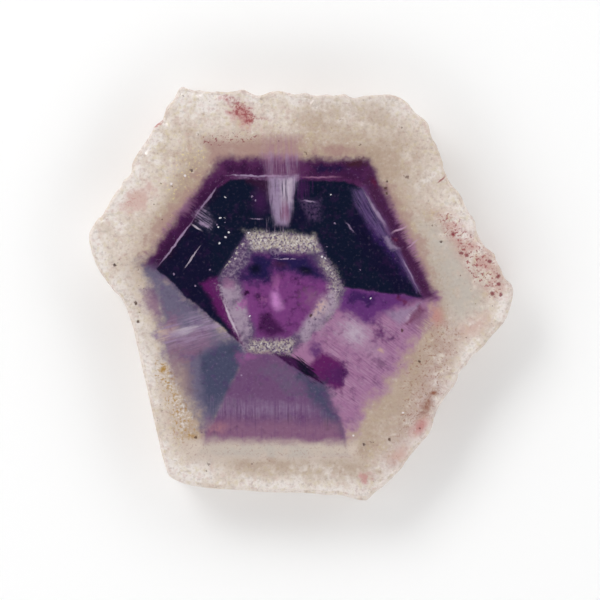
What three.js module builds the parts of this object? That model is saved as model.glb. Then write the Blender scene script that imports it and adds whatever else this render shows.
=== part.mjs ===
// Trapiche amethyst: one polished slice across a six-sided crystal, lying on its sawn back.
// Millimetres, +Z up. The origin is on the surface it lies on, under the middle of the slice.
import * as THREE from 'three';
import { mergeVertices } from 'three/addons/utils/BufferGeometryUtils.js';

// Driving dimensions
const SLICE_WIDTH = 42.7; // across X, from the left corner to the right corner
const THICKNESS = 6;
const EDGE_ROUND = 0.55; // radius of the worn edge around both sawn faces
const SKIN_RELIEF = 0.75; // deepest hollow in the natural skin of the flanks
const SAWN_SHARE = 0.3; // share of that relief left on the two ground flanks

// Fineness of the facets
const OUTLINE_STEPS = 236;
const EDGE_RINGS = 3;
const WALL_RINGS = 6;

// Waves of the skin: how many run around the slice, how far and how often their lines wander,
// how much they lean on the way up, and their share of the relief
const COARSE_LUMPS = { around: 17, wander: 2, wanders: 3, lean: 3, share: 0.22 };
const FINE_LUMPS = { around: 41, wander: 1.5, wanders: 5, lean: -7, share: 0.13 };
const LEDGES = { around: 0, wander: 1.4, wanders: 7, lean: 10, share: 0.15 };

// The ground flanks run from the bottom corner to the left corner, as turns from +X
const GROUND_FROM = THREE.MathUtils.degToRad(-176);
const GROUND_TO = THREE.MathUtils.degToRad(-70);
const GROUND_BLEND = THREE.MathUtils.degToRad(6);

// Corners, nicks and bulges of the outline, clockwise, one list for each flank
const TOP_FLANK = [
  [-11.9, 20.8], [-10.7, 20.4], [-10.1, 20.5], [-9.4, 20.3], [-8.7, 20.4], [-7.3, 20.2],
  [-5.7, 20.4], [-4.9, 20], [-4.1, 19.9], [-2.9, 20.3], [-1.9, 20.3], [-0.6, 20], [0.4, 20.1],
  [1.1, 19.8], [2.6, 20], [3.5, 19.8], [4.3, 20.1], [5.2, 19.7], [6.7, 19.9], [8.7, 20],
  [9.4, 19.9], [10.3, 19.5],
];
const UPPER_RIGHT_FLANK = [
  [10.7, 19.2], [11.6, 18], [12.5, 17.4], [12.8, 17.1], [13.2, 15.5], [13.5, 15.1], [14.3, 13.1],
  [14.3, 12.6], [15, 11], [16, 9.9], [16.8, 8.2], [17.6, 7.3], [17.7, 6.4], [18, 5.6], [18.7, 4.4],
  [19.2, 4.2], [19.6, 3.7], [19.6, 3.3], [20.2, 2.4], [20.3, 1.9], [20.7, 1.3], [21.2, 0.9],
  [21.3, 0.2],
];
const LOWER_RIGHT_FLANK = [
  [21.2, -0.7], [20.5, -2.8], [20, -3.5], [19.2, -4.3], [18.1, -5.6], [17, -6.5], [16.7, -7.2],
  [16, -8], [15.7, -9], [14.3, -10.7], [13.5, -12.2], [13.2, -13.6], [12.8, -14.3], [11.6, -15.7],
  [9.7, -18.1], [8.2, -19.5], [7.3, -20.1], [6.7, -20.8],
];
const BOTTOM_FLANK = [
  [6, -20.8], [4, -20.3], [2.5, -20.3], [0.9, -20.1], [-3.4, -20], [-7.2, -19.7], [-9.1, -19.6],
  [-11.6, -19.2], [-12.9, -18.6], [-13.3, -18.3],
];
const LOWER_LEFT_FLANK = [
  [-13.5, -17.8], [-14.3, -14.8], [-15.4, -9.9], [-16.1, -6.9], [-17.1, -2.7], [-18, -0.6],
];
const UPPER_LEFT_FLANK = [
  [-19, 0.4], [-20, 1.7], [-20.7, 2.9], [-21.4, 5.6], [-21.2, 6.3], [-20.5, 7.4], [-20, 7.8],
  [-19, 9.6], [-18.1, 10.8], [-17.9, 11.3], [-17.1, 11.9], [-17, 12.5], [-16.8, 13.3],
  [-15.5, 15.3], [-14.7, 16.9], [-13.9, 17.5], [-13.6, 18.5], [-12.8, 19.4], [-12.2, 20.7],
];
const FLANKS = [
  TOP_FLANK, UPPER_RIGHT_FLANK, LOWER_RIGHT_FLANK, BOTTOM_FLANK, LOWER_LEFT_FLANK, UPPER_LEFT_FLANK,
];

// A closed smooth line through the flanks, centred, turned anticlockwise and scaled to the width
function sliceOutline() {
  const marks = FLANKS.flat().map(([x, y]) => new THREE.Vector3(x, y, 0));
  const line = new THREE.CatmullRomCurve3(marks, true, 'centripetal');
  const points = line.getSpacedPoints(OUTLINE_STEPS).slice(0, -1).reverse();
  const box = new THREE.Box3().setFromPoints(points);
  const middle = box.getCenter(new THREE.Vector3());
  const scale = SLICE_WIDTH / (box.max.x - box.min.x);
  return points.map((point) => {
    const placed = point.sub(middle).multiplyScalar(scale);
    return new THREE.Vector2(placed.x, placed.y);
  });
}

// The rings of the flank from the back up to the polished face: height, and how far each is drawn in
function flankRings() {
  const rings = [];
  for (let ring = 0; ring <= EDGE_RINGS; ring += 1) {
    const turn = (ring / EDGE_RINGS) * (Math.PI / 2);
    const height = EDGE_ROUND * (1 - Math.cos(turn));
    rings.push({ height, drawnIn: EDGE_ROUND * (1 - Math.sin(turn)) });
  }
  const upperRings = rings.map((ring) => ({ ...ring, height: THICKNESS - ring.height })).reverse();
  for (let ring = 1; ring < WALL_RINGS; ring += 1) {
    const wall = THICKNESS - 2 * EDGE_ROUND;
    rings.push({ height: EDGE_ROUND + (wall * ring) / WALL_RINGS, drawnIn: 0 });
  }
  return rings.concat(upperRings);
}

// How much of the natural skin a flank keeps: all of it, or the small share left by grinding
function skinShare(turn) {
  const { smoothstep } = THREE.MathUtils;
  const inGround = smoothstep(turn, GROUND_FROM - GROUND_BLEND, GROUND_FROM + GROUND_BLEND);
  const pastGround = smoothstep(turn, GROUND_TO - GROUND_BLEND, GROUND_TO + GROUND_BLEND);
  return 1 - (1 - SAWN_SHARE) * (inGround - pastGround);
}

// Depth of the skin's hollows at a turn around the slice and a height up its side, none at the faces
function skinHollow(turn, height) {
  const up = height / THICKNESS;
  const rises = [COARSE_LUMPS, FINE_LUMPS, LEDGES].map((wave) => {
    const line = wave.around * turn + wave.wander * Math.sin(wave.wanders * turn);
    return wave.share * Math.sin(line + wave.lean * up);
  });
  const rise = rises.reduce((sum, part) => sum + part, 0);
  return SKIN_RELIEF * (0.5 - rise) * Math.sin(Math.PI * up) * skinShare(turn);
}

// The slice: the outline extruded one step to a ring, then each ring set to its height and hollows
function sliceGeometry() {
  const outline = sliceOutline();
  const rings = flankRings();
  const meanRadius = outline.reduce((sum, point) => sum + point.length(), 0) / outline.length;
  const steps = rings.length - 1;
  const extruded = new THREE.ExtrudeGeometry(new THREE.Shape(outline), {
    depth: steps,
    steps,
    bevelEnabled: false,
  });
  extruded.deleteAttribute('normal');
  extruded.deleteAttribute('uv');
  const geometry = mergeVertices(extruded);
  const position = geometry.getAttribute('position');
  for (let index = 0; index < position.count; index += 1) {
    const x = position.getX(index);
    const y = position.getY(index);
    const { height, drawnIn } = rings[Math.round(position.getZ(index))];
    const hollow = skinHollow(Math.atan2(y, x), height);
    const keep = 1 - drawnIn / meanRadius - hollow / Math.hypot(x, y);
    position.setXYZ(index, x * keep, y * keep, height);
  }
  geometry.computeBoundingBox();
  const middle = geometry.boundingBox.getCenter(new THREE.Vector3());
  geometry.translate(-middle.x, -middle.y, 0);
  geometry.computeVertexNormals();
  return geometry;
}

const amethyst = new THREE.MeshStandardMaterial({ color: 0x8b7184, roughness: 0.22, metalness: 0 });

const slice = new THREE.Mesh(sliceGeometry(), amethyst);
slice.name = 'amethyst_slice';

const trapicheAmethyst = new THREE.Group();
trapicheAmethyst.add(slice);

export default trapicheAmethyst;
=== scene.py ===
"""A polished slice of trapiche amethyst lying on a pale floor, seen from straight above.

Lengths are metres. The markings of the stone are laid out in millimetres of the slice's plan,
+X to the right and +Y up as its polished face is seen.
"""

import math

import bmesh
import bpy
from mathutils import Color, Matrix, Vector, kdtree, noise


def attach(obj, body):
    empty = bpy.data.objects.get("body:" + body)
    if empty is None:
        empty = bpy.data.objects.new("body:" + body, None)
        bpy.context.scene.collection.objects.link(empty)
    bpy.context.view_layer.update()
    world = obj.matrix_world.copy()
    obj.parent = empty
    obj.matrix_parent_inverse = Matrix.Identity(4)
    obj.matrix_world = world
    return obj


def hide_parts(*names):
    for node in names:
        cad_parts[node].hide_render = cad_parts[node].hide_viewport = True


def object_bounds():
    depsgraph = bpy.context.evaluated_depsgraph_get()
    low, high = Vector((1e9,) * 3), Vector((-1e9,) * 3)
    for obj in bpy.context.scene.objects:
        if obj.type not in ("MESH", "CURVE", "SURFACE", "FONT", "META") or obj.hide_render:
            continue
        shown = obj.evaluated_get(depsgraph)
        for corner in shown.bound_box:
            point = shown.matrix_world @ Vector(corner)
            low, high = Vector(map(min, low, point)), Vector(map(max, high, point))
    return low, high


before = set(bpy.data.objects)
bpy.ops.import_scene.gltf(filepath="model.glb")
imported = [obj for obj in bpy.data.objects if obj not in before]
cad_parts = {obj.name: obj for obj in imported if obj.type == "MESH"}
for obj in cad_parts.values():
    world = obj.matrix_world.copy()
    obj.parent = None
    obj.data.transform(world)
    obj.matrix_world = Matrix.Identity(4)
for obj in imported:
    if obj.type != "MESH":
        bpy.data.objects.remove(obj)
cad_low, cad_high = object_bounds()

MM = 0.001
FACE_HEIGHT = cad_high.z

# Where the middle of the slice lies on the plan of its markings, in millimetres
PLAN_SHIFT = Vector((0.05, -0.035))

# Shape of the slice: cuts and smoothing of the walls, and rings of both faces as shares of their size
SLICE_NODE = "amethyst_slice"
WALL_CUTS = 3
WALL_SMOOTHINGS = 2
SMOOTHING_SHARE = 0.5
FACE_RINGS = (0.997, 0.985, 0.972, 0.958, 0.942, 0.92)
BACK_RINGS = (0.98, 0.94, 0.88, 0.8, 0.7, 0.55)
CELL_SIZE = 2.0 * MM
WELD = 0.001 * MM

# Natural skin of the flanks: size of its lumps and how far they stand out, how much of that shows
# on the ground flanks and at the edges, and how much of the skin's finish the sawn back has
SKIN_LUMPS = ((1.7 * MM, 0.13 * MM), (0.55 * MM, 0.07 * MM), (0.24 * MM, 0.03 * MM))
GROUND_SHARE = 0.3
GROUND_TURNS = (-176, -70)
GROUND_BLEND = 8
EDGE_START = 0.15
BACK_SKIN = 0.7

# Chips along the edge of the polished face
CHIP_REACH = 1.1
CHIP_DEPTH = 0.22 * MM
CHIP_SIZE = 1.5 * MM
CHIP_START = 0.05
CHIP_STEEPNESS = 3

# Small pits in the polished face: place on the plan, radius and depth in millimetres
PITS = {
    "pit in the upper left rim": ((-10.8, 12.2), 0.2, 0.2),
    "pit by the right band": ((8.7, 11.2), 0.17, 0.2),
    "crack below it, upper end": ((8.55, 10.5), 0.15, 0.15),
    "crack below it, lower end": ((8.65, 10), 0.15, 0.15),
    "pit in the right rim": ((14.1, 5.1), 0.2, 0.18),
    "pit in the mauve sector": ((10.25, -3.8), 0.15, 0.15),
    "pit in the ring": ((1.1, -2.2), 0.15, 0.18),
    "pit in the bottom rim": ((8.9, -14.6), 0.14, 0.15),
    "gash in the bottom rim": ((6.4, -15.1), 0.22, 0.18),
    "pit at the lower left corner": ((-10.4, -14.5), 0.15, 0.15),
    "pit in the left rim": ((-16.4, -1), 0.26, 0.2),
    "pit below it": ((-16.2, -2.8), 0.15, 0.15),
    "pit by the left corner": ((-18.5, 2.8), 0.16, 0.15),
    "pit at the lower right": ((11.9, -6.8), 0.15, 0.15),
}
PIT_CUTS = 15

# Colours of the stone, as they show on a screen
COLOURS = {
    "chalk": "e7dfda",
    "cream": "dcd0c6",
    "oat": "cfc0b4",
    "sand": "bda999",
    "tan": "ad9887",
    "quartz": "bcb4ac",
    "warm sand": "cfc098",
    "gold": "dccb8a",
    "ochre": "a8813f",
    "rose tan": "a5857f",
    "blush": "c9a89f",
    "rose": "bd8482",
    "rust": "94484c",
    "blood": "7c2434",
    "brown": "8a5643",
    "umber": "4a2a20",
    "navy": "0a1229",
    "ink": "060c1b",
    "indigo": "1d1745",
    "violet": "3c1f5c",
    "purple": "5d2c6e",
    "plum": "522650",
    "dark plum": "391140",
    "wine": "5b1a58",
    "red wine": "6a2044",
    "brown wine": "4c2635",
    "magenta": "753a78",
    "dark magenta": "481a50",
    "rose magenta": "a45f9c",
    "orchid": "c886c8",
    "mauve": "9c6e92",
    "rose mauve": "8d6280",
    "pale mauve": "b895af",
    "deep mauve": "5c2463",
    "lavender": "a08ba8",
    "pale lavender": "c9bac9",
    "dim lavender": "6c5482",
    # haze is the painted reflection over the lower left sector, and a grey patch of the bottom sector
    "haze": "696279",
    "grey violet": "574364",
    "slate": "484b66",
    "dusk": "6c4b70",
    "dusk rose": "8d6480",
    "milk": "a592a4",
    "peach": "cfae9d",
    "white": "ece7ec",
}
GRAIN_COLOURS = (
    "cdc3b9", "aaa09b", "beb2a5", "968a91", "cfc6b2", "e1dad2", "b4a89b", "78687d", "c6bcba",
)

# Textures shared by the markings: turn of the grain in degrees, size along and across it in
# millimetres, fineness and harshness
TEXTURES = {
    "cloud": (0, 4.0, 4.0, 3, 0.5),
    "mottle": (0, 1.1, 1.1, 4, 0.6),
    "grain": (0, 0.3, 0.3, 2, 0.6),
    "breaks": (0, 0.7, 0.7, 2, 0.6),
    "upright fibres": (91, 2.6, 0.16, 3, 0.6),
    "left fibres": (146, 2.2, 0.2, 3, 0.6),
    "right fibres": (27, 2.0, 0.17, 3, 0.6),
    "streak fibres": (-60, 2.6, 0.18, 3, 0.65),
    "low left fibres": (16, 3.4, 0.24, 3, 0.6),
    "low right fibres": (-36, 1.3, 0.13, 3, 0.6),
}
WANDER_TEXTURE = (0, 1.5, 1.5, 3, 0.6)
DAB_TEXTURE = (0, 0.55, 0.55, 3, 0.6)
GRAIN_SIZE = 0.17


def zone(colour, corners, blur=0.15, amount=1.0, by=None, rag=None, clear=None):
    """A marking with straight sides.

    by is a texture with the values where the marking starts and is full; rag is a texture that
    frays its edge, with how far; clear is how see-through the crystal is there.
    """
    return dict(
        form="zone", colour=colour, corners=corners, blur=blur, amount=amount, by=by, rag=rag,
        clear=clear,
    )


def spot(colour, middle, radii, turn=0, core=0.0, amount=1.0, by=None, rag=None, clear=None):
    """A round or oval marking that fades from its core, a share of its radii, to its edge."""
    return dict(
        form="spot", colour=colour, middle=middle, radii=radii, turn=turn, core=core, amount=amount,
        by=by, rag=rag, clear=clear,
    )


def streak(colour, start, end, width=0.15, core=0.3, amount=1.0, by=None, rag=None, clear=0.0):
    """A long thin marking from start to end, pointed at both."""
    run = Vector(end) - Vector(start)
    middle = (Vector(start) + Vector(end)) / 2
    turn = math.degrees(math.atan2(run.y, run.x))
    return spot(colour, tuple(middle), (run.length / 2, width), turn, core, amount, by, rag, clear)


def specks(colour, places, radius, amount=1.0):
    """A scatter of small uneven dots of about one size."""
    return dict(
        form="specks", colour=colour, places=places, radius=radius, amount=amount, by=None, rag=None,
        clear=0.0,
    )


# Rim of cream quartz around the amethyst
RIM_MARKS = {
    "tan inner rim": zone(
        "tan", [(-9.7, 15.2), (8.8, 15), (15.8, -0.7), (5.5, -17.1), (-11, -16.7), (-18, 2.5)], blur=1.5,
        amount=0.5, rag=("mottle", 3),
    ),
    "shade of the top rim": zone(
        "tan", [(0, 19.7), (9, 19.5), (14, 10.8), (12, 9.3), (0, 16.5)], blur=1.3, amount=0.5,
        by=("mottle", 0.2, 0.6), rag=("mottle", 3),
    ),
    "shade of the bottom rim": zone(
        "tan", [(-7.5, -15.9), (5, -16.1), (7.8, -17.7), (6.2, -18.9), (-7, -18.1)], blur=1, amount=0.7,
        by=("mottle", 0.25, 0.6), rag=("mottle", 3),
    ),
    "grey quartz of the right rim": zone(
        "quartz", [(11.6, 7.3), (14.4, 6.9), (18.4, 0.7), (18, -1.7), (15.6, -3.3), (14, -0.3)], blur=1.2,
        amount=0.85, by=("mottle", 0.25, 0.6), rag=("mottle", 3),
    ),
    "tan quartz by the upper left corner": streak(
        "tan", (-14.8, 5.7), (-8.6, 15.5), width=1.6, core=0.1, amount=0.6, by=("mottle", 0.25, 0.55),
    ),
    "pale bottom rim": zone(
        "quartz", [(-10.2, -15.4), (5.2, -15.6), (5.2, -16.7), (-10.2, -16.5)], blur=1, amount=0.6,
        by=("mottle", 0.3, 0.6), rag=("mottle", 3),
    ),
    "blush on the left": spot(
        "blush", (-16.4, 9.3), (2.6, 1.6), turn=40, core=0.1, amount=0.8, rag=("mottle", 3),
    ),
    "rose dabs on the left": spot(
        "rose", (-16.8, 9), (1.9, 1), turn=30, amount=0.7, by=("grain", 0.5, 0.66),
    ),
    "rose margin over the top band": zone(
        "rose tan", [(-9.6, 15.3), (0, 15.4), (0, 13.1), (-9.2, 13.1)], blur=0.7, amount=0.85,
        by=("mottle", 0.15, 0.5), rag=("mottle", 3),
    ),
    "second rose margin over the top band": spot(
        "rose tan", (3.8, 14.1), (3, 1), core=0.1, amount=0.9, rag=("mottle", 3),
    ),
    "rose margin on the upper left": streak(
        "rose tan", (-16, 3.6), (-7.8, 14.3), width=1.35, amount=0.7, rag=("mottle", 3),
    ),
    "rose margin on the right": streak(
        "rose tan", (7.6, 12.7), (14.4, -1.3), width=1.1, amount=0.65, rag=("mottle", 3),
    ),
    "rose cloud at the top": spot(
        "rose", (-5.8, 17.9), (3, 1.6), turn=-38, amount=0.8, rag=("mottle", 3),
    ),
    "red stain at the top": zone(
        "rust", [(-7.2, 19.5), (-6, 19.4), (-3.5, 17.4), (-4.8, 16.7), (-7, 18.1)], blur=0.5, amount=0.85,
        by=("grain", 0.38, 0.6), rag=("mottle", 5),
    ),
    "red dabs over the top band": zone(
        "blood", [(-9.9, 15.7), (-5.4, 16.2), (-3.8, 15.7), (-5, 15.1), (-9.6, 14.6)], blur=0.3,
        amount=0.75, by=("grain", 0.54, 0.66), rag=("mottle", 4),
    ),
    "rose spot at the upper left edge": spot(
        "rose", (-14.3, 16.9), (0.65, 0.35), turn=40, core=0.1, amount=0.9, rag=("grain", 2),
    ),
    "rose cloud in the right rim": zone(
        "rose", [(13.4, 8.1), (15.2, 8.2), (19.4, 4.1), (20.9, 0.3), (19.2, -0.7), (17.4, 0.9),
        (14.5, 5.7)], blur=0.9, amount=0.5, by=("mottle", 0.35, 0.62), rag=("mottle", 4),
    ),
    "red dabs in the right rim": zone(
        "rust", [(13.8, 7.9), (15, 8), (19.2, 3.7), (20.6, 0.5), (19.4, -0.5), (17.6, 1.3), (14.8, 5.9)],
        blur=0.5, amount=0.85, by=("grain", 0.5, 0.66), rag=("mottle", 6),
    ),
    "red path in the right rim": streak(
        "rust", (14, 7.9), (17.4, 3.1), width=0.35, core=0.1, amount=0.75, by=("grain", 0.4, 0.62),
        rag=("mottle", 2),
    ),
    "red dots in the right rim": specks(
        "blood", [(15.3, 5.9), (16.7, 3.8), (16.1, 4), (19, 3.2), (19.8, 1.7), (19.9, 0.9), (19.2, 0),
        (20.1, -0.1)], radius=0.17, amount=0.8,
    ),
    "red vein": streak("rust", (14.8, 11.85), (13.6, 10.9), width=0.14, amount=0.8),
    "blush by the right corner": spot(
        "blush", (17.4, -3.3), (3, 1.4), turn=30, amount=0.8, by=("mottle", 0.3, 0.55),
    ),
    "rose of the lower right rim": zone(
        "rose tan", [(14, -1.3), (16.2, -3.7), (14.6, -9.9), (12, -13.9), (9.6, -17.5), (7.2, -18.5),
        (10.2, -10.7)], blur=1.4, amount=0.6, by=("mottle", 0.25, 0.6), rag=("mottle", 4),
    ),
    "sand of the lower right rim": zone(
        "tan", [(9.8, -7.9), (13.2, -3.7), (14, -5.2), (10, -14.7), (5, -16.9), (4.5, -15.3)], blur=1.2,
        amount=0.65, by=("mottle", 0.2, 0.6), rag=("mottle", 4),
    ),
    "red margin by the right corner": spot(
        "rose", (13.6, -2.3), (1.2, 2), turn=10, amount=0.75, by=("mottle", 0.35, 0.6),
    ),
    "brown dabs of the lower right rim": zone(
        "brown", [(13.6, -1.9), (16.2, -3.7), (14.6, -9.9), (12.4, -13.5), (9.6, -14.7), (10, -8.5)],
        blur=0.8, amount=0.6, by=("grain", 0.52, 0.68), rag=("mottle", 4),
    ),
    "brown edge": spot(
        "brown", (12.7, -11.4), (3, 1), turn=62, amount=0.85, by=("mottle", 0.2, 0.55), rag=("mottle", 2),
    ),
    "brown blot on the edge": spot(
        "brown", (13.4, -10), (0.5, 0.38), turn=20, core=0.2, amount=0.95, rag=("grain", 1.5),
    ),
    "rose edge further down": spot(
        "rose", (12, -13.4), (1.9, 1), turn=50, amount=0.9, by=("mottle", 0.2, 0.5),
    ),
    "rose cloud at the lower right edge": spot(
        "blush", (9.8, -16.3), (2.4, 1.2), turn=48, amount=0.9, by=("mottle", 0.35, 0.6),
    ),
    "rose blot at the bottom right": spot(
        "rose", (6.6, -18.5), (0.9, 0.6), amount=0.7, rag=("mottle", 4),
    ),
    "brown blot in the bottom rim": spot(
        "brown", (-2.9, -16.5), (0.7, 0.45), amount=0.6, rag=("grain", 3),
    ),
    "gold grains at the lower left": zone(
        "ochre", [(-14.6, -6.9), (-13.4, -6.5), (-10.1, -13.9), (-10.8, -15.1), (-12.6, -14.7)], blur=0.6,
        amount=0.85, by=("grain", 0.5, 0.68), rag=("mottle", 5),
    ),
    "pale grains at the lower left": zone(
        "chalk", [(-14, -7.1), (-13.2, -6.9), (-10.6, -13.1), (-11, -13.9), (-12, -13.7)], blur=0.5,
        amount=0.8, by=("grain", 0.48, 0.34), rag=("mottle", 5),
    ),
    "ochre blot": spot(
        "ochre", (-13.7, -7.65), (0.55, 0.4), turn=60, core=0.2, amount=0.95, rag=("grain", 2),
    ),
    "ochre at the lower left corner": spot(
        "ochre", (-11, -14.4), (1.3, 0.5), amount=0.7, by=("mottle", 0.35, 0.6),
    ),
    "gold dabs of the upper left": zone(
        "gold", [(-14, 10.3), (-11.4, 15.1), (-9.4, 14.3), (-10, 11.7), (-13, 8.9)], blur=0.5,
        amount=0.75, by=("grain", 0.58, 0.7), rag=("mottle", 5),
    ),
    "dark flecks": zone(
        "umber", [(-20.5, 23.3), (22, 23.3), (22, -22.7), (-20.5, -22.7)], blur=0.2, amount=0.6,
        by=("breaks", 0.705, 0.76),
    ),
}

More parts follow.
